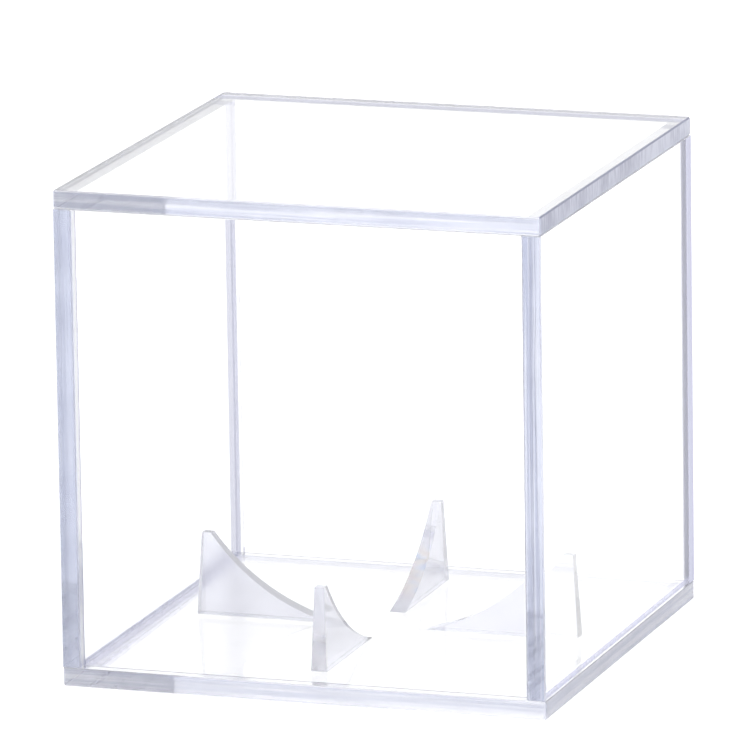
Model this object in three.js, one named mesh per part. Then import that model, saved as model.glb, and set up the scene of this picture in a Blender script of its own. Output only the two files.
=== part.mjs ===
// A clear acrylic display cube for one ball. A flat base carries four fins that the ball
// sits on, and a five-sided cover stands on the base and lifts straight off.
// Millimetres, +Z up, +X to the right, +Y to the back. The origin is the centre of the
// base's underside.
import * as THREE from "three";

// Driving dimensions
const cubeSide = 80; // outside, the same along X, Y and Z
const sheet = 3; // all six sheets are cut from the same stock

const seatRadius = 35.2; // of the concave edge of every fin
const seatCentreHeight = 37.3; // of that edge's centre, on the cube's axis
const finHeight = 13.5; // above the base
const finFootReach = 30.8; // from the cube's axis to the fin's outer edge, at its foot
const finTopReach = 30; // the same at its top, because the outer edge leans in
const finFootThickness = 2.6;
const finTopThickness = 1.6; // the fins are moulded with draft, so they thin upwards
const seatSteps = 16; // straight steps along the concave edge

// Sizes that follow
const half = cubeSide / 2;
const wallHeight = cubeSide - 2 * sheet;
const wallMiddle = cubeSide / 2; // height of the middle of every wall
const innerSide = cubeSide - 2 * sheet;
const finFoot = sheet;
const finTop = finFoot + finHeight;

// Distance from the cube's axis to the concave edge at a height.
function seatReach(height) {
  return Math.sqrt(seatRadius ** 2 - (seatCentreHeight - height) ** 2);
}

// Thickness of a fin at a height.
function finThickness(height) {
  const share = (height - finFoot) / finHeight;
  return finFootThickness + share * (finTopThickness - finFootThickness);
}

function clearAcrylic(colour, opacity) {
  return new THREE.MeshStandardMaterial({
    color: colour,
    roughness: 0.04,
    metalness: 0,
    transparent: true,
    opacity,
  });
}

function namedMesh(name, geometry, material) {
  const mesh = new THREE.Mesh(geometry, material);
  mesh.name = name;
  return mesh;
}

// A rectangular sheet, centred where it is told.
function panel(name, size, centre) {
  const mesh = namedMesh(name, new THREE.BoxGeometry(...size), clearAcrylic(0xe6e9f4, 0.3));
  mesh.position.set(...centre);
  return mesh;
}

// The fin's outline, with reach from the cube's axis along X and height along Y. It runs
// from the foot of the outer edge along the base to the sharp inner tip, and then up the
// concave edge to the narrow flat top.
function finOutline() {
  const outline = new THREE.Shape();
  outline.moveTo(finFootReach, finFoot);
  outline.lineTo(finTopReach, finTop);
  const sweepOf = (height) => Math.asin((height - seatCentreHeight) / seatRadius);
  const from = sweepOf(finTop);
  const to = sweepOf(finFoot);
  outline.absarc(0, seatCentreHeight, seatRadius, from, to, true);
  return outline;
}

// A fin that stands on the base and points outwards along +X. It is extruded as a plate of
// the foot's thickness, and both faces then lean in towards the top.
function finGeometry() {
  const geometry = new THREE.ExtrudeGeometry(finOutline(), {
    depth: finFootThickness,
    bevelEnabled: false,
    curveSegments: seatSteps,
  });
  geometry.translate(0, 0, -finFootThickness / 2);
  geometry.rotateX(Math.PI / 2);
  const points = geometry.getAttribute("position");
  for (let i = 0; i < points.count; i += 1) {
    const lean = finThickness(points.getZ(i)) / finFootThickness;
    points.setY(i, points.getY(i) * lean);
  }
  geometry.computeVertexNormals();
  return geometry;
}

// A fin in its place, turned about the cube's axis.
function fin(name, turns) {
  const mesh = namedMesh(name, finGeometry(), clearAcrylic(0xdfe2f0, 0.4));
  mesh.rotation.z = (turns * Math.PI) / 2;
  return mesh;
}

// The base: a flat sheet with its four fins bonded on in a cross.
function buildBase() {
  const base = new THREE.Group();
  base.add(panel("base_plate", [cubeSide, cubeSide, sheet], [0, 0, sheet / 2]));
  ["fin_right", "fin_back", "fin_left", "fin_front"].forEach((name, turns) => {
    base.add(fin(name, turns));
  });
  return base;
}

// The cover: two full-depth side walls with the front and back walls bonded between them,
// and the top sheet bonded over all four.
function buildCover() {
  const cover = new THREE.Group();
  const offset = half - sheet / 2; // from the cube's axis to the middle of a wall
  const sideSize = [sheet, cubeSide, wallHeight];
  const crossSize = [innerSide, sheet, wallHeight];
  cover.add(panel("left_wall", sideSize, [-offset, 0, wallMiddle]));
  cover.add(panel("right_wall", sideSize, [offset, 0, wallMiddle]));
  cover.add(panel("front_wall", crossSize, [0, -offset, wallMiddle]));
  cover.add(panel("back_wall", crossSize, [0, offset, wallMiddle]));
  cover.add(panel("top_panel", [cubeSide, cubeSide, sheet], [0, 0, cubeSide - sheet / 2]));
  return cover;
}

const displayCube = new THREE.Group();
displayCube.add(buildBase());
displayCube.add(buildCover());

export default displayCube;
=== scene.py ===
import math

import bmesh
import bpy
import numpy as np
from mathutils import Matrix, Vector, noise


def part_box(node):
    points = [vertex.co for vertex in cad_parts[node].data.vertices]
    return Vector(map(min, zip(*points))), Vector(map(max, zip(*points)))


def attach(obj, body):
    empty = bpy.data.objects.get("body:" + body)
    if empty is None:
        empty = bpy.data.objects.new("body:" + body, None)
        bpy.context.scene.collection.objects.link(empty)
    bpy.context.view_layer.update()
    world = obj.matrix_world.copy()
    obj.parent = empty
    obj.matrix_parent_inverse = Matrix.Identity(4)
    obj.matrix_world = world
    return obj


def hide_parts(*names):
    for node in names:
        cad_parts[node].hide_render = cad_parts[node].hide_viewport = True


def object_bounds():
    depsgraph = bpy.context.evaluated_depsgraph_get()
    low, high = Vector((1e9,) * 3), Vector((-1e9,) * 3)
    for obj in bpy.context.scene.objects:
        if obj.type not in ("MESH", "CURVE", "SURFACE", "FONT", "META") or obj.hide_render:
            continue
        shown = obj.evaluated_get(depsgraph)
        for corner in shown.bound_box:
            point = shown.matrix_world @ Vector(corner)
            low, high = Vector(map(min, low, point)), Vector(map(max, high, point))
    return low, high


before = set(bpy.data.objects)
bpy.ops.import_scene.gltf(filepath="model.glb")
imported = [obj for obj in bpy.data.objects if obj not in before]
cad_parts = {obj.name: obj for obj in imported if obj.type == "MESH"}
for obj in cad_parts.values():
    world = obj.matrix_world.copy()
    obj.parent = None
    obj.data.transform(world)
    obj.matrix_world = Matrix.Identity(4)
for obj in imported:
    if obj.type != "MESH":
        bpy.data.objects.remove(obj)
cadLow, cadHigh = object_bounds()
mm = 0.001


# Adds a shader node and fills its sockets, by name, with values or with other nodes' outputs.
def addNode(tree, kind, **sockets):
    node = tree.nodes.new(kind)
    for name, value in sockets.items():
        socket = node.inputs[name.replace("_", " ")]
        if isinstance(value, bpy.types.NodeSocket):
            tree.links.new(value, socket)
        else:
            socket.default_value = value
    return node


def calc(tree, operation, first, second=None, third=None):
    node = tree.nodes.new("ShaderNodeMath")
    node.operation = operation
    for socket, value in zip(node.inputs, (first, second, third)):
        if isinstance(value, bpy.types.NodeSocket):
            tree.links.new(value, socket)
        elif value is not None:
            socket.default_value = value
    return node.outputs[0]


# One where a value lies between two others, zero elsewhere.
def between(tree, value, start, stop):
    above = calc(tree, "GREATER_THAN", value, start)
    return calc(tree, "MULTIPLY", above, calc(tree, "LESS_THAN", value, stop))


def remap(tree, value, fromLow, fromHigh, toLow, toHigh, smooth=False):
    node = tree.nodes.new("ShaderNodeMapRange")
    node.interpolation_type = "SMOOTHSTEP" if smooth else "LINEAR"
    tree.links.new(value, node.inputs["Value"])
    limits = ("From Min", fromLow), ("From Max", fromHigh), ("To Min", toLow), ("To Max", toHigh)
    for name, limit in limits:
        if isinstance(limit, bpy.types.NodeSocket):
            tree.links.new(limit, node.inputs[name])
        else:
            node.inputs[name].default_value = limit
    return node.outputs["Result"]


def blend(tree, factor, first, second):
    node = tree.nodes.new("ShaderNodeMix")
    node.data_type = "RGBA"
    tree.links.new(factor, node.inputs["Factor"])
    for name, value in (("A", first), ("B", second)):
        if isinstance(value, bpy.types.NodeSocket):
            tree.links.new(value, node.inputs[name])
        else:
            node.inputs[name].default_value = value
    return node.outputs["Result"]


def readAttribute(tree, name):
    node = tree.nodes.new("ShaderNodeAttribute")
    node.attribute_name = name
    return node.outputs["Fac"]


# Noise from a pattern: features per metre along each axis, how detailed, and how far shifted.
def cloud(tree, coordinates, pattern):
    perMetre, detail, shift = pattern
    mapping = addNode(tree, "ShaderNodeMapping", Vector=coordinates)
    mapping.inputs["Scale"].default_value = perMetre
    mapping.inputs["Location"].default_value = shift
    texture = addNode(tree, "ShaderNodeTexNoise", Vector=mapping.outputs[0], Scale=1.0, Detail=detail)
    return texture.outputs["Fac"]


# The surface and the body of a clear plastic, joined into one material.
def finishClear(tree, look, density, colour, roughness, clear, normal):
    surface = addNode(
        tree,
        "ShaderNodeBsdfPrincipled",
        Base_Color=colour,
        Roughness=roughness,
        IOR=look["bend"],
        Transmission_Weight=clear,
        Normal=normal,
    )
    absorb = addNode(tree, "ShaderNodeVolumeAbsorption", Color=look["absorbColour"], Density=density)
    output = tree.nodes.new("ShaderNodeOutputMaterial")
    tree.links.new(surface.outputs[0], output.inputs["Surface"])
    tree.links.new(absorb.outputs[0], output.inputs["Volume"])


def newTree(name):
    material = bpy.data.materials.new(name)
    material.use_nodes = True
    material.node_tree.nodes.clear()
    return material, material.node_tree


# What a sheet's mesh says of each side, for its material: how cut the side is, whether it is
# cemented, how cloudy and how dark the cement is, how sawn it is, which arris, how streaky.
sheetMarks = ("edge", "bond", "cement", "shade", "sawn", "arris", "streaky")

# Clear sheet: polished faces, planed front and back edges, sawn side edges, cemented joints.
sheetLook = {
    "bend": 1.49,  # index of refraction of acrylic
    "faceRoughness": 0.0,
    "planedRoughness": (0.05, 0.15),
    "sawnRoughness": 0.35,
    "bondRoughness": (0.0, 0.06),
    "planedMilk": (0.04, 0.14),  # how much of an edge scatters like milk
    "sawnMilk": 0.48,
    # a painted highlight along the arrises of planed sides
    "arrisHighlightMilk": 0.3,
    "faceColour": (1, 1, 1, 1),
    "cementColour": (1.0, 1.0, 1.0, 1),
    "darkCement": (0.5, 0.53, 0.72, 1),
    # pale planed streaks, and the painted highlight on planed arrises
    "paleStreakAndHighlight": (0.97, 0.97, 1.0, 1),
    "darkStreak": (0.62, 0.64, 0.75, 1),
    "sawnStreak": (0.32, 0.33, 0.44, 1),
    "arrisColour": (0.3, 0.31, 0.45, 1),
    # the colour of the walls' haze and of the lid's painted shade
    "hazeAndShadeColour": (0.47, 0.48, 0.65, 1),
    "footStripColour": (0.82, 0.82, 0.93, 1),
    "absorbColour": (0.63, 0.665, 0.765, 1),
    "streakDepth": 0.02 * mm,
    "rippleDepth": 0.002 * mm,
    "rippleStrength": 0.35,
    # Patterns: features per metre along and across an edge, detail, shift.
    "fineStreaks": ((26, 2400, 1), 3.0, (0, 0, 0)),
    "broadStreaks": ((9, 800, 1), 3.0, (3.1, 7.7, 0)),
    "sawMarks": ((2600, 260, 1), 2.0, (1.9, 4.2, 0)),
    "patches": ((110, 110, 110), 3.0, (1.3, 0.2, 4.4)),
    "bubbles": ((420, 420, 420), 2.0, (5.3, 2.2, 0.4)),
    "grain": ((420, 420, 420), 2.0, (0, 0, 0)),
    "ripples": ((45, 45, 45), 1.0, (0, 0, 0)),
    # Where a noise starts to show, and where it is full.
    "softNoise": (0.35, 0.65),
    "firmNoise": (0.4, 0.6),
    "streakNoise": (0.46, 0.57),
    "sawNoise": (0.85, 1.2),
    "arrisLevels": (0.25, 0.75),  # the arris mark is above these on any arris, where planed sides get a painted highlight, and on the farther one
    "planedUpTo": (0.6, 0.7),  # how sawn a side is when its painted arris highlight stops
    "sawnFrom": (0.6, 1.0),
    "leastHaze": 0.001,
}
# Where the haze and the lid's painted shade lie, measured from the middle of the cube and from its
# underside.
hazeAndShadeZones = {
    "sideWall": 36.8 * mm,  # the side walls lie farther out than this
    "skin": 0.5 * mm,  # what lies this close to a face belongs to it
    "leftJoint": (35.1 * mm, 38.5 * mm),
    "leftJointHaze": 0.35,
    "rightJoint": (36.9 * mm, 41.0 * mm),
    "rightJointHaze": 0.72,
    "leftFoot": (3.0 * mm, 4.0 * mm),
    "leftFootHaze": 0.3,
    "rightFoot": (3.4 * mm, 4.4 * mm),
    "rightFootHaze": 0.45,
    "footMottle": (0.5, 1.5),
    # a strip of painted shade on the lid
    "lidBack": (34.8 * mm, 37.5 * mm),
    "lidPaintedShade": 0.27,
}


# Haze on the side walls: a strip beside each back joint and a mottled band along the foot.
def hazeOnWalls(tree, place, look):
    zones = hazeAndShadeZones
    split = addNode(tree, "ShaderNodeSeparateXYZ", Vector=place)
    across, depth, height = split.outputs
    onLeft = calc(tree, "LESS_THAN", across, -zones["sideWall"])
    onRight = calc(tree, "GREATER_THAN", across, zones["sideWall"])
    onInnerLeft = between(tree, across, -zones["sideWall"] - zones["skin"], -zones["sideWall"])
    onOuterRight = calc(tree, "GREATER_THAN", across, cadHigh.x - zones["skin"])
    mottle = remap(tree, cloud(tree, place, look["grain"]), *look["softNoise"], *zones["footMottle"])
    strips = []
    for name, side, along in (("leftJoint", onLeft, depth),
                              ("rightJoint", onRight, depth),
                              ("leftFoot", calc(tree, "MULTIPLY", onInnerLeft, mottle), height),
                              ("rightFoot", calc(tree, "MULTIPLY", onOuterRight, mottle), height)):
        strip = calc(tree, "MULTIPLY", side, between(tree, along, *zones[name]))
        strips.append(calc(tree, "MULTIPLY", strip, zones[name + "Haze"]))
    most = strips[0]
    for strip in strips[1:]:
        most = calc(tree, "MAXIMUM", most, strip)
    return most, look["hazeAndShadeColour"]


# A faint painted shade on the lid: a darker milky strip in front of the back wall cemented under it.
def paintedShadeOnLid(tree, place, look):
    split = addNode(tree, "ShaderNodeSeparateXYZ", Vector=place)
    inside = between(tree, split.outputs[1], *hazeAndShadeZones["lidBack"])
    onTop = calc(tree, "GREATER_THAN", split.outputs[2], cadHigh.z - hazeAndShadeZones["skin"])
    strip = calc(tree, "MULTIPLY", inside, onTop)
    return calc(tree, "MULTIPLY", strip, hazeAndShadeZones["lidPaintedShade"]), look["hazeAndShadeColour"]


# A faintly hazy lavender strip on the base where the left and back walls stand, wider at the front than at
# the back.
footStripZone = {
    "start": -37.0 * mm,  # the strip's outer side, to the left of the middle
    "frontWidth": 3.1 * mm,
    "backWidth": 1.1 * mm,
    "halfDepth": 37.0 * mm,
    "backStart": 36.75 * mm,
    "soft": 0.25 * mm,
    "mottleNoise": (0.3, 0.7),
    "mottle": (0.6, 1.4),
    "ridgeWidth": (0.05, 0.25),  # shares of the width to each side of its middle
    "ridge": 2.2,  # how much stronger the strip is along the middle
    "haze": 0.11,
}


def hazeAtFoot(tree, place, look):
    zone = footStripZone
    split = addNode(tree, "ShaderNodeSeparateXYZ", Vector=place)
    across, depth, _ = split.outputs
    width = remap(tree, depth, -zone["halfDepth"], zone["halfDepth"], zone["frontWidth"], zone["backWidth"])
    inward = calc(tree, "SUBTRACT", across, zone["start"])
    atLeft = remap(tree, calc(tree, "SUBTRACT", width, inward), 0.0, zone["soft"], 0.0, 1.0)
    atBack = remap(tree, depth, zone["backStart"], zone["backStart"] + zone["soft"], 0.0, 1.0)
    fromMiddle = calc(tree, "ABSOLUTE", calc(tree, "SUBTRACT", calc(tree, "DIVIDE", inward, width), 0.5))
    ridge = remap(tree, fromMiddle, *zone["ridgeWidth"], zone["ridge"], 1.0)
    bandAmount = calc(tree, "MAXIMUM", calc(tree, "MULTIPLY", atLeft, ridge), atBack)
    mottle = remap(tree, cloud(tree, place, look["grain"]), *zone["mottleNoise"], *zone["mottle"])
    return calc(tree, "MULTIPLY", calc(tree, "MULTIPLY", bandAmount, mottle), zone["haze"]), look["footStripColour"]


# The haze rule says how hazy a place on the sheet's faces is, and in what colour; on the lid it gives
# painted shade.
def clearSheetMaterial(name, density, look, hazeAndShadeRule):
    material, tree = newTree(name)
    edge, bond, cement, shade, sawn, arris, streaky = (readAttribute(tree, mark) for mark in sheetMarks)
    along = tree.nodes.new("ShaderNodeUVMap")
    along.uv_map = "alongEdge"
    place = tree.nodes.new("ShaderNodeTexCoord").outputs["Object"]

    fine = cloud(tree, along.outputs[0], look["fineStreaks"])
    broad = cloud(tree, along.outputs[0], look["broadStreaks"])
    streaks = calc(tree, "MULTIPLY", calc(tree, "ADD", fine, broad), 0.5)
    saw = cloud(tree, along.outputs[0], look["sawMarks"])
    patches = cloud(tree, place, look["patches"])
    bubbles = cloud(tree, place, look["bubbles"])

    planedRough = remap(tree, streaks, *look["firmNoise"], *look["planedRoughness"])
    bondRough = remap(tree, bubbles, *look["firmNoise"], *look["bondRoughness"])
    cutRough = remap(tree, sawn, 0.0, 1.0, planedRough, look["sawnRoughness"])
    endRough = remap(tree, bond, 0.0, 1.0, cutRough, bondRough)
    roughness = remap(tree, edge, 0.0, 1.0, look["faceRoughness"], endRough)

    planedMilk = remap(tree, patches, *look["softNoise"], *look["planedMilk"])
    cutMilk = remap(tree, sawn, 0.0, 1.0, planedMilk, look["sawnMilk"])
    anyArris, fartherArris = (calc(tree, "GREATER_THAN", arris, level) for level in look["arrisLevels"])
    # planed sides get a pale painted highlight along their arrises
    planedArrisHighlight = calc(tree, "MULTIPLY", anyArris, remap(tree, sawn, *look["planedUpTo"], 1.0, 0.0))
    cutMilk = calc(tree, "MAXIMUM", cutMilk, calc(tree, "MULTIPLY", planedArrisHighlight, look["arrisHighlightMilk"]))
    endMilk = remap(tree, bond, 0.0, 1.0, cutMilk, cement)
    milk = calc(tree, "MULTIPLY", edge, endMilk)

    lines = calc(tree, "MULTIPLY", remap(tree, streaks, *look["streakNoise"], 0.0, 1.0), streaky)
    planedColour = blend(tree, lines, look["paleStreakAndHighlight"], look["darkStreak"])
    planedColour = blend(tree, planedArrisHighlight, planedColour, look["paleStreakAndHighlight"])
    sawLines = remap(tree, calc(tree, "ADD", saw, patches), *look["sawNoise"], 0.0, 1.0)
    sawnColour = blend(tree, sawLines, look["darkStreak"], look["sawnStreak"])
    edgeColour = blend(tree, sawn, planedColour, sawnColour)
    sawnArris = calc(tree, "MULTIPLY", fartherArris, remap(tree, sawn, *look["sawnFrom"], 0.0, 1.0))
    edgeColour = blend(tree, sawnArris, edgeColour, look["arrisColour"])
    jointColour = blend(tree, shade, look["cementColour"], look["darkCement"])
    edgeColour = blend(tree, bond, edgeColour, jointColour)
    colour = blend(tree, edge, look["faceColour"], edgeColour)
    # haze, and on the lid painted shade, clouds the faces
    strength, tint = hazeAndShadeRule(tree, place, look)
    haze = calc(tree, "MULTIPLY", strength, calc(tree, "SUBTRACT", 1.0, edge))
    milk = calc(tree, "ADD", milk, haze)
    colour = blend(tree, calc(tree, "GREATER_THAN", haze, look["leastHaze"]), colour, tint)
    clear = calc(tree, "SUBTRACT", 1.0, milk)

    relief = addNode(tree, "ShaderNodeBump", Height=calc(tree, "MULTIPLY", streaks, edge))
    relief.inputs["Distance"].default_value = look["streakDepth"]
    ripple = addNode(tree, "ShaderNodeBump", Normal=relief.outputs[0])
    tree.links.new(cloud(tree, place, look["ripples"]), ripple.inputs["Height"])
    ripple.inputs["Strength"].default_value = look["rippleStrength"]
    ripple.inputs["Distance"].default_value = look["rippleDepth"]
    finishClear(tree, look, density, colour, roughness, clear, ripple.outputs[0])
    return material


# Moulded fins: slightly hazy, with flow marks.
finLook = {
    "bend": 1.49,
    "milkColour": (0.93, 0.935, 1.0, 1),
    "absorbColour": (0.1, 0.13, 0.75, 1),
    "flowDepth": 0.02 * mm,
    # Patterns: features per metre along each axis, detail, shift.
    "flow": ((70, 70, 220), 3.0, (0, 0, 0)),
    "haze": ((160, 160, 160), 2.0, (2.2, 6.1, 0)),
    "bands": ((500, 500, 900), 1.0, (0, 0, 0)),
    "softNoise": (0.35, 0.65),
    "skin": 0.1 * mm,  # what lies this close to a side belongs to it
    "bandStops": (0.3, 0.43, 0.56, 0.69),
}
# How clear each fin is. curveMilk and rimMilk cloud its concave and its outer side. marks are
# tones on one of the two, from one height to another; on fin_back they are painted glints of split light.
finFinishes = {
    "fin_right": {
        "material": "mouldedClear", "density": 2.0, "roughness": (0.03, 0.09), "milk": (0.09, 0.13),
        "curveMilk": 0.0, "rimMilk": 0.0},
    "fin_back": {
        "material": "mouldedSparkling", "density": 3.5, "roughness": (0.03, 0.09), "milk": (0.1, 0.18),
        "curveMilk": 0.18, "rimMilk": 0.2,
        # painted spectrum glints on the concave side
        "marks": {
            "side": "curve", "from": 3.5 * mm, "to": 11.0 * mm,
            "tones": ((0.62, 0.74, 1.0, 1), (1, 1, 1, 1), (1.0, 0.86, 0.74, 1), (0.98, 0.86, 0.96, 1))}},
    "fin_left": {
        "material": "mouldedHazy", "density": 3.5, "roughness": (0.16, 0.24), "milk": (0.1, 0.18),
        "curveMilk": 0.6, "rimMilk": 0.2},
    "fin_front": {
        "material": "mouldedRimmed", "density": 3.5, "roughness": (0.03, 0.09), "milk": (0.09, 0.15),
        "curveMilk": 0.1, "rimMilk": 0.2,
        "marks": {
            "side": "rim", "from": 1.0 * mm, "to": 12.0 * mm,
            "tones": ((0.72, 0.73, 0.8, 1), (1, 1, 1, 1), (0.88, 0.84, 0.88, 1), (0.8, 0.8, 0.86, 1))}},
}


def mouldedMaterial(finish, look):
    material, tree = newTree(finish["material"])
    place = tree.nodes.new("ShaderNodeTexCoord").outputs["Object"]
    flow = cloud(tree, place, look["flow"])
    haze = cloud(tree, place, look["haze"])
    roughness = remap(tree, flow, *look["softNoise"], *finish["roughness"])
    away = tree.nodes.new("ShaderNodeVectorMath")
    away.operation = "DISTANCE"
    tree.links.new(place, away.inputs[0])
    away.inputs[1].default_value = (0, 0, finShape["Seat Height"])
    split = addNode(tree, "ShaderNodeSeparateXYZ", Vector=place)
    across = calc(tree, "MAXIMUM", calc(tree, "ABSOLUTE", split.outputs[0]),
                  calc(tree, "ABSOLUTE", split.outputs[1]))
    sides = {
        "curve": calc(tree, "LESS_THAN", away.outputs["Value"], finShape["Seat Radius"] + look["skin"]),
        "rim": calc(tree, "GREATER_THAN", across, finShape["Top Reach"] - look["skin"]),
    }
    milk = remap(tree, haze, *look["softNoise"], *finish["milk"])
    for name, side in sides.items():
        milk = calc(tree, "MAXIMUM", milk, calc(tree, "MULTIPLY", side, finish[name + "Milk"]))
    clear = calc(tree, "SUBTRACT", 1.0, milk)
    colour = look["milkColour"]
    if "marks" in finish:
        marks = finish["marks"]
        tones = bandTones(tree, place, marks["tones"], look)
        onBand = calc(tree, "MULTIPLY", sides[marks["side"]], bandShare(tree, split.outputs[2], marks))
        colour = blend(tree, onBand, look["milkColour"], tones)
    bump = addNode(tree, "ShaderNodeBump", Height=flow)
    bump.inputs["Distance"].default_value = look["flowDepth"]
    finishClear(tree, look, finish["density"], colour, roughness, clear, bump.outputs[0])
    return material


# One in the middle half of a band of heights, fading to zero at its two ends.
def bandShare(tree, height, marks):
    reach = (marks["to"] - marks["from"]) / 2
    middle = marks["from"] + reach
    fromMiddle = calc(tree, "ABSOLUTE", calc(tree, "SUBTRACT", height, middle))
    return remap(tree, fromMiddle, reach, reach / 2, 0.0, 1.0)


# Faint uneven tones painted into the colour: spectrum colours, painted glints where a fin splits the light
# like a prism, or greys.
def bandTones(tree, place, tones, look):
    ramp = tree.nodes.new("ShaderNodeValToRGB")
    while len(ramp.color_ramp.elements) < len(tones):
        ramp.color_ramp.elements.new(look["bandStops"][0])
    for element, stop, tone in zip(ramp.color_ramp.elements, look["bandStops"], tones):
        element.position = stop
        element.color = tone
    tree.links.new(cloud(tree, place, look["bands"]), ramp.inputs[0])
    return ramp.outputs[0]


# The camera, at the angle the cube is seen from.
cameraSetup = {
    "place": (0.493756, -1.450265, 0.398954),
    "azimuth": 18.859,
    "elevation": 13.022,
    "roll": -0.875,
    "lens": 480.03,
    "sensor": 36,
    "farthest": 50,
}


def placeCamera(setup):
    turn, tilt, roll = (math.radians(setup[key]) for key in ("azimuth", "elevation", "roll"))
    back = Vector((math.sin(turn) * math.cos(tilt), -math.cos(turn) * math.cos(tilt), math.sin(tilt)))
    right = (-back).cross(Vector((0, 0, 1))).normalized()
    up = right.cross(-back)
    leanRight = math.cos(roll) * right + math.sin(roll) * up
    leanUp = -math.sin(roll) * right + math.cos(roll) * up
    data = bpy.data.cameras.new("camera")
    data.lens = setup["lens"]
    data.sensor_width = setup["sensor"]
    data.clip_end = setup["farthest"]
    camera = bpy.data.objects.new("camera", data)
    axes = Matrix((leanRight, leanUp, back)).transposed().to_4x4()
    camera.matrix_world = Matrix.Translation(setup["place"]) @ axes
    bpy.context.scene.collection.objects.link(camera)
    bpy.context.scene.camera = camera


# The small things that make a sheet a sawn and planed one.
sheetShape = {
    "tightArris": 0.06 * mm,  # where a side meets a neighbour
    "wallCorner": 0.16 * mm,  # radius of a sheet's corners, seen square on
    "panelCorner": 0.6 * mm,
    "cornerTurns": 8,
    "jointGap": 0.04 * mm,
    "restGap": 0.02 * mm,  # under the walls, which only stand on the base
    "step": 2.0 * mm,  # how often an edge can wander
    "wander": 0.012 * mm,
    "wanderPerMetre": 90,
    "grooves": 9,
    "grooveDepth": 0.008 * mm,
    "groovePerMetre": 1900,
    "grooveLayer": 0.5,
    "grooveSeed": 3.7,  # how far apart two sheets' noise is taken
    "wanderSeed": 5.3,
    "streakSeed": (0.37, 0.11),
    "cutShare": 0.5,  # how much of the noise cuts in
    "arrisMarks": (0.5, 1.0),  # the nearer arris and the farther one
    "sharpAngle": 14,
}
# Each sheet stands for one CAD node. thin is the axis through the sheet, and density is how
# much it absorbs. arris is how much of the free edges is broken, and meets lists the sides
# against a neighbour, which stay sharp. bonds are the cemented sides, where a hair of air is
# left: how cloudy, and how dark. sawn says how roughly a side was left by the saw, polished how
# nearly a cut side is as clear as a face, and streaky how marked the lines of the plane are.
sheets = {
    "base_plate": {
        "body": "base", "thin": 2, "density": 3.0, "arris": 0.12 * mm, "streaky": 1.2, "polished": {},
        "meets": (), "bonds": {}, "sawn": {"-x": 0.9, "+x": 0.55}},
    "left_wall": {
        "body": "cover", "thin": 0, "density": 23.0, "arris": 0.18 * mm, "streaky": 0.45, "polished": {},
        "meets": ("-z", "+z"), "bonds": {"+z": (0.45, 0.0)}, "sawn": {"-z": 0.18}},
    "right_wall": {
        "body": "cover", "thin": 0, "density": 15.0, "arris": 0.18 * mm, "streaky": 1.3,
        "polished": {"-z": 0.6},
        "meets": ("-z", "+z"), "bonds": {"+z": (0.45, 0.0)}, "sawn": {"-z": 0.03}},
    "front_wall": {
        "body": "cover", "thin": 1, "density": 18.0, "arris": 0.18 * mm, "streaky": 1.0, "polished": {},
        "meets": ("-x", "+x", "-z", "+z"),
        "bonds": {"-x": (0.6, 1.0), "+x": (0.1, 0.0), "+z": (0.45, 0.0)}, "sawn": {"-z": 0.2}},
    "back_wall": {
        "body": "cover", "thin": 1, "density": 18.0, "arris": 0.18 * mm, "streaky": 1.0, "polished": {},
        "meets": ("-x", "+x", "-z", "+z"),
        "bonds": {"-x": (0.15, 0.3), "+x": (0.6, 0.0), "+z": (0.3, 0.0)}, "sawn": {"-z": 0.2}},
    "top_panel": {
        "body": "cover", "thin": 2, "density": 6.0, "arris": 0.24 * mm, "streaky": 1.2, "polished": {},
        "meets": (), "bonds": {}, "sawn": {"-x": 1.0, "+x": 1.0}},
}


# The outline of a sheet's face, counter-clockwise, as points with outward directions.
def sheetOutline(low, high, corner, shape):
    centres = [
        (high[0] - corner, high[1] - corner, 0),
        (low[0] + corner, high[1] - corner, 90),
        (low[0] + corner, low[1] + corner, 180),
        (high[0] - corner, low[1] + corner, 270),
    ]
    turns = shape["cornerTurns"]
    outline = []
    for index, (x, y, start) in enumerate(centres):
        for k in range(turns + 1):
            angle = math.radians(start + 90 * k / turns)
            way = Vector((math.cos(angle), math.sin(angle)))
            outline.append((Vector((x, y)) + corner * way, way))
        nextX, nextY, _ = centres[(index + 1) % len(centres)]
        here = outline[-1][0]
        there = Vector((nextX, nextY)) + corner * way
        count = max(1, round((there - here).length / shape["step"]))
        outline += [(here.lerp(there, k / count), way) for k in range(1, count)]
    return outline


# The side a direction in a sheet's plane points to, such as "+x".
def sideOf(way, flat):
    main = 0 if abs(way[0]) > abs(way[1]) else 1
    return ("+" if way[main] > 0 else "-") + "xyz"[flat[main]]


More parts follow.
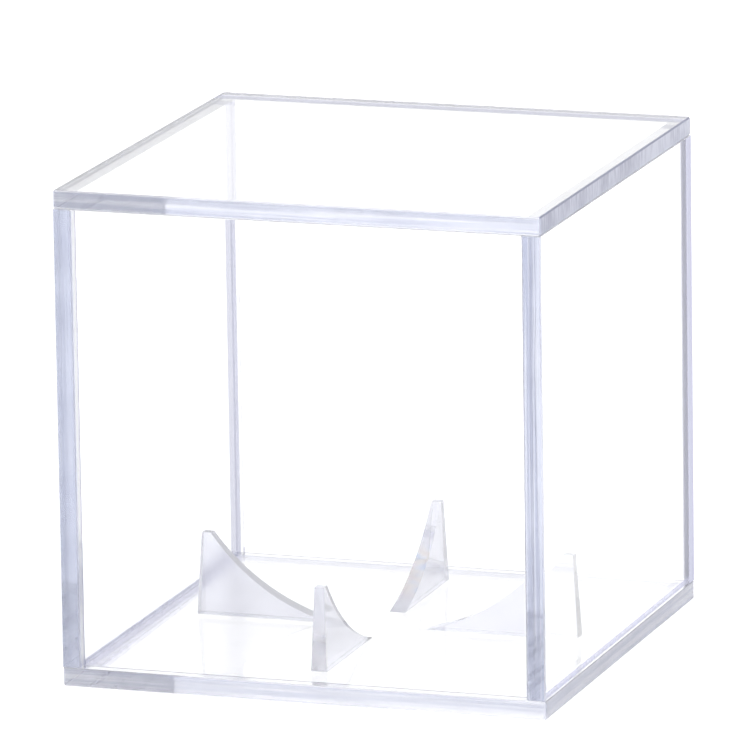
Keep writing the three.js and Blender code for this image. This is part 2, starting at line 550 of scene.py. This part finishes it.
# The rings of points round a sheet's edge, from its low face to its high face.
def layRings(mesh, outline, low, high, plan, seed, shape):
    thin = plan["thin"]
    flat = [axis for axis in range(3) if axis != thin]
    thickness = high[thin] - low[thin]
    arrises = [
        plan["arris"] if sideOf(way, flat) not in plan["meets"] else shape["tightArris"]
        for _, way in outline
    ]
    # Each ring is how far in it lies, in arrises, how deep a groove is, and its place through the sheet.
    profile = [(1.0, 0.0, 0.0)]
    for share in np.linspace(0.0, 1.0, shape["grooves"]):
        across = share * thickness * shape["groovePerMetre"]
        cut = noise.noise(Vector((seed * shape["grooveSeed"], across, shape["grooveLayer"])))
        profile.append((0.0, max(0.0, cut + shape["cutShare"]) * shape["grooveDepth"], share))
    profile.append((1.0, 0.0, 1.0))
    rings = []
    for inset, groove, share in profile:
        ring = []
        for (point, way), arris in zip(outline, arrises):
            drift = noise.noise(Vector((*(point * shape["wanderPerMetre"]), seed * shape["wanderSeed"])))
            back = inset * arris + groove + max(0.0, drift + shape["cutShare"]) * shape["wander"]
            through = share * thickness if inset else arris + share * (thickness - 2 * arris)
            spot = Vector((0, 0, 0))
            spot[flat[0]], spot[flat[1]] = point - way * back
            spot[thin] = low[thin] + through
            ring.append(mesh.verts.new(spot))
        rings.append(ring)
    return rings


# The marks of one side, in the order of sheetMarks.
def marksOf(side, arris, plan):
    cloudy, dark = plan["bonds"].get(side, (0.0, 0.0))
    cut = 1.0 - plan["polished"].get(side, 0.0)
    bonded = 1.0 if side in plan["bonds"] else 0.0
    return cut, bonded, cloudy, dark, plan["sawn"].get(side, 0.0), arris, plan["streaky"]


# One sheet between two corners of a box.
def cutSheet(name, low, high, plan, seed, shape):
    thin = plan["thin"]
    flat = [axis for axis in range(3) if axis != thin]
    corner = shape["panelCorner" if thin == 2 else "wallCorner"]
    outline = sheetOutline([low[a] for a in flat], [high[a] for a in flat], corner, shape)
    mesh = bmesh.new()
    for mark in sheetMarks:
        mesh.loops.layers.float.new(mark)
    markLayers = [mesh.loops.layers.float[mark] for mark in sheetMarks]
    uvLayer = mesh.loops.layers.uv.new("alongEdge")
    rings = layRings(mesh, outline, low, high, plan, seed, shape)
    nearer, farther = shape["arrisMarks"]
    arrisAt = {0: nearer, len(rings) - 2: farther}
    shiftAlong, shiftAcross = (seed * step for step in shape["streakSeed"])
    count = len(outline)
    steps = [(outline[(k + 1) % count][0] - outline[k][0]).length for k in range(count)]
    lengths = np.cumsum([0] + steps)
    for level, (lower, upper) in enumerate(zip(rings, rings[1:])):
        for k in range(count):
            following = (k + 1) % count
            face = mesh.faces.new((lower[k], lower[following], upper[following], upper[k]))
            face.smooth = True
            side = sideOf(outline[k][1] + outline[following][1], flat)
            marks = marksOf(side, arrisAt.get(level, 0.0), plan)
            spans = lengths[k], lengths[k + 1], lengths[k + 1], lengths[k]
            for loop, span in zip(face.loops, spans):
                for layer, mark in zip(markLayers, marks):
                    loop[layer] = mark
                across = loop.vert.co[thin] - low[thin]
                loop[uvLayer].uv = (span + shiftAlong, across + shiftAcross)
    for ring in (rings[0], rings[-1]):
        cap = mesh.faces.new(ring)
        cap.smooth = False
        for loop in cap.loops:
            loop[uvLayer].uv = (loop.vert.co[flat[0]], loop.vert.co[flat[1]])
    bmesh.ops.recalc_face_normals(mesh, faces=mesh.faces)
    data = bpy.data.meshes.new(name)
    mesh.to_mesh(data)
    mesh.free()
    data.set_sharp_from_angle(angle=math.radians(shape["sharpAngle"]))
    piece = bpy.data.objects.new(name, data)
    bpy.context.scene.collection.objects.link(piece)
    return piece


def buildSheets(look):
    rulesForHazeAndShade = {"base_plate": hazeAtFoot, "top_panel": paintedShadeOnLid}
    for seed, (node, plan) in enumerate(sheets.items(), start=1):
        rule = rulesForHazeAndShade.get(node, hazeOnWalls)
        material = clearSheetMaterial(node + "_acrylic", plan["density"], look, rule)
        low, high = (list(corner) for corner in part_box(node))
        for side in plan["bonds"]:
            axis = "xyz".index(side[1])
            if side[0] == "+":
                high[axis] -= sheetShape["jointGap"]
            else:
                low[axis] += sheetShape["jointGap"]
        if node.endswith("_wall"):
            low[2] += sheetShape["restGap"]
        piece = cutSheet(node + "_sheet", low, high, plan, seed, sheetShape)
        piece.data.materials.append(material)
        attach(piece, plan["body"])
        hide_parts(node)


# The fins, by one Geometry Nodes tree.
finShape = {
    "Seat Radius": 35.2 * mm,
    "Seat Height": 37.3 * mm,
    "Foot Thickness": 2.6 * mm,
    "Top Thickness": 1.6 * mm,
    "Top Reach": 30.0 * mm,
}
finGrid = {"along": 40, "across": 4, "up": 48, "crowding": 1.7}
finBevel = {"width": 0.26 * mm, "segments": 3, "above": 40, "sharpAngle": 25}


def finTree(material, name):
    tree = bpy.data.node_groups.new(name, "GeometryNodeTree")
    tree.interface.new_socket("Geometry", in_out="INPUT", socket_type="NodeSocketGeometry")
    for label in ("Seat Radius", "Seat Height", "Foot Height", "Fin Height", "Foot Reach", "Top Reach",
                  "Foot Thickness", "Top Thickness", "Turn"):
        tree.interface.new_socket(label, in_out="INPUT", socket_type="NodeSocketFloat")
    tree.interface.new_socket("Geometry", in_out="OUTPUT", socket_type="NodeSocketGeometry")
    given = tree.nodes.new("NodeGroupInput").outputs

    block = tree.nodes.new("GeometryNodeMeshCube")
    block.inputs["Size"].default_value = (1, 1, 1)
    block.inputs["Vertices X"].default_value = finGrid["along"]
    block.inputs["Vertices Y"].default_value = finGrid["across"]
    block.inputs["Vertices Z"].default_value = finGrid["up"]
    split = tree.nodes.new("ShaderNodeSeparateXYZ")
    tree.links.new(tree.nodes.new("GeometryNodeInputPosition").outputs[0], split.inputs[0])
    share = calc(tree, "ADD", split.outputs[0], 0.5)
    level = calc(tree, "MAXIMUM", calc(tree, "ADD", split.outputs[2], 0.5), 0.0)
    rise = calc(tree, "POWER", level, finGrid["crowding"])  # rows crowd towards the foot's sharp tip
    height = calc(tree, "MULTIPLY_ADD", rise, given["Fin Height"], given["Foot Height"])
    drop = calc(tree, "SUBTRACT", given["Seat Height"], height)
    radiusSquared = calc(tree, "MULTIPLY", given["Seat Radius"], given["Seat Radius"])
    inner = calc(tree, "SQRT", calc(tree, "SUBTRACT", radiusSquared, calc(tree, "MULTIPLY", drop, drop)))
    outer = remap(tree, rise, 0.0, 1.0, given["Foot Reach"], given["Top Reach"])
    thickness = remap(tree, rise, 0.0, 1.0, given["Foot Thickness"], given["Top Thickness"])
    reach = remap(tree, share, 0.0, 1.0, inner, outer)
    spot = tree.nodes.new("ShaderNodeCombineXYZ")
    tree.links.new(reach, spot.inputs[0])
    tree.links.new(calc(tree, "MULTIPLY", split.outputs[1], thickness), spot.inputs[1])
    tree.links.new(height, spot.inputs[2])
    turned = tree.nodes.new("ShaderNodeVectorRotate")
    turned.rotation_type = "Z_AXIS"
    tree.links.new(spot.outputs[0], turned.inputs["Vector"])
    tree.links.new(given["Turn"], turned.inputs["Angle"])
    shaped = tree.nodes.new("GeometryNodeSetPosition")
    tree.links.new(block.outputs["Mesh"], shaped.inputs["Geometry"])
    tree.links.new(turned.outputs[0], shaped.inputs["Position"])
    real = tree.nodes.new("GeometryNodeRealizeInstances")
    tree.links.new(shaped.outputs[0], real.inputs[0])
    finish = tree.nodes.new("GeometryNodeSetMaterial")
    finish.inputs["Material"].default_value = material
    tree.links.new(real.outputs[0], finish.inputs["Geometry"])
    result = tree.nodes.new("NodeGroupOutput")
    tree.links.new(finish.outputs[0], result.inputs[0])
    return tree


# Runs a tree on an empty mesh with the given sizes, and keeps the result as a plain mesh.
def bakeTree(name, tree, sizes):
    maker = bpy.data.objects.new(name, bpy.data.meshes.new(name + "Blank"))
    bpy.context.scene.collection.objects.link(maker)
    modifier = maker.modifiers.new("shape", "NODES")
    modifier.node_group = tree
    sockets = {s.name: s.identifier for s in tree.interface.items_tree if s.in_out == "INPUT"}
    for label, value in sizes.items():
        modifier[sockets[label]] = value
    depsgraph = bpy.context.evaluated_depsgraph_get()
    made = bpy.data.meshes.new_from_object(maker.evaluated_get(depsgraph))
    maker.modifiers.remove(modifier)
    maker.data = made
    made.name = name
    return maker


def buildFins(look):
    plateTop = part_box("base_plate")[1].z + sheetShape["jointGap"]
    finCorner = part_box("fin_right")[1]
    sizes = dict(finShape)
    sizes["Foot Height"] = plateTop
    sizes["Fin Height"] = finCorner.z - plateTop
    sizes["Foot Reach"] = finCorner.x
    for turns, (node, finish) in enumerate(finFinishes.items()):
        sizes["Turn"] = turns * math.pi / 2
        tree = finTree(mouldedMaterial(finish, look), node + "Shape")
        piece = bakeTree(node + "_moulding", tree, sizes)
        piece.data.shade_smooth()
        piece.data.set_sharp_from_angle(angle=math.radians(finBevel["sharpAngle"]))
        bevel = piece.modifiers.new("softEdge", "BEVEL")
        bevel.width = finBevel["width"]
        bevel.segments = finBevel["segments"]
        bevel.limit_method = "ANGLE"
        bevel.angle_limit = math.radians(finBevel["above"])
        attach(piece, "base")
        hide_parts(node)


# A softly glowing white floor, and a plain studio around it.
roomSetup = {
    "floorSide": 30,
    "floorDrop": 0.2 * mm,
    "floorColour": (0.35, 0.35, 0.35, 1),
    "floorGlow": 0.97,
    "floorRoughness": 0.9,
    "floorShine": 0.1,
    "backLight": (1.22, 1.22, 1.22, 1),
    "sideLight": (1.08, 1.08, 1.14, 1),
    "overheadLight": (1.2, 1.2, 1.2, 1),
    "belowHorizon": (1.2, 1.2, 1.2, 1),
    "backFade": (-0.2, 0.7),  # how far round a direction points to the back
    "overheadFade": (0.3, 0.6),  # how far up it points
    "horizonFade": (-0.02, 0.0),
    "bounces": 40,
    "glossyBounces": 24,
}


def layFloor(setup):
    side = setup["floorSide"]
    data = bpy.data.meshes.new("floor")
    level = cadLow.z - setup["floorDrop"]
    corners = [(-side, -side, level), (side, -side, level), (side, side, level), (-side, side, level)]
    data.from_pydata(corners, [], [(0, 1, 2, 3)])
    floor = bpy.data.objects.new("floor", data)
    bpy.context.scene.collection.objects.link(floor)
    material = bpy.data.materials.new("paleFloor")
    material.use_nodes = True
    surface = material.node_tree.nodes["Principled BSDF"]
    surface.inputs["Base Color"].default_value = setup["floorColour"]
    surface.inputs["Roughness"].default_value = setup["floorRoughness"]
    surface.inputs["Specular IOR Level"].default_value = setup["floorShine"]
    surface.inputs["Emission Color"].default_value = (1, 1, 1, 1)
    surface.inputs["Emission Strength"].default_value = setup["floorGlow"]
    data.materials.append(material)


def lightRoom(setup):
    world = bpy.data.worlds.new("studio")
    bpy.context.scene.world = world
    world.use_nodes = True
    tree = world.node_tree
    tree.nodes.clear()
    way = tree.nodes.new("ShaderNodeTexCoord").outputs["Generated"]
    split = addNode(tree, "ShaderNodeSeparateXYZ", Vector=way)
    behind = remap(tree, split.outputs[1], *setup["backFade"], 0.0, 1.0, smooth=True)
    above = remap(tree, split.outputs[2], *setup["overheadFade"], 0.0, 1.0, smooth=True)
    below = remap(tree, split.outputs[2], *setup["horizonFade"], 1.0, 0.0)
    colour = blend(tree, behind, setup["sideLight"], setup["backLight"])
    colour = blend(tree, above, colour, setup["overheadLight"])
    colour = blend(tree, below, colour, setup["belowHorizon"])
    background = addNode(tree, "ShaderNodeBackground", Color=colour)
    output = tree.nodes.new("ShaderNodeOutputWorld")
    tree.links.new(background.outputs[0], output.inputs["Surface"])
    scene = bpy.context.scene
    scene.view_settings.view_transform = "Standard"
    scene.cycles.max_bounces = setup["bounces"]
    scene.cycles.transmission_bounces = setup["bounces"]
    scene.cycles.glossy_bounces = setup["glossyBounces"]


placeCamera(cameraSetup)
layFloor(roomSetup)
lightRoom(roomSetup)
print("room ready")
buildSheets(sheetLook)
print("sheets cut")
buildFins(finLook)
print("fins moulded")
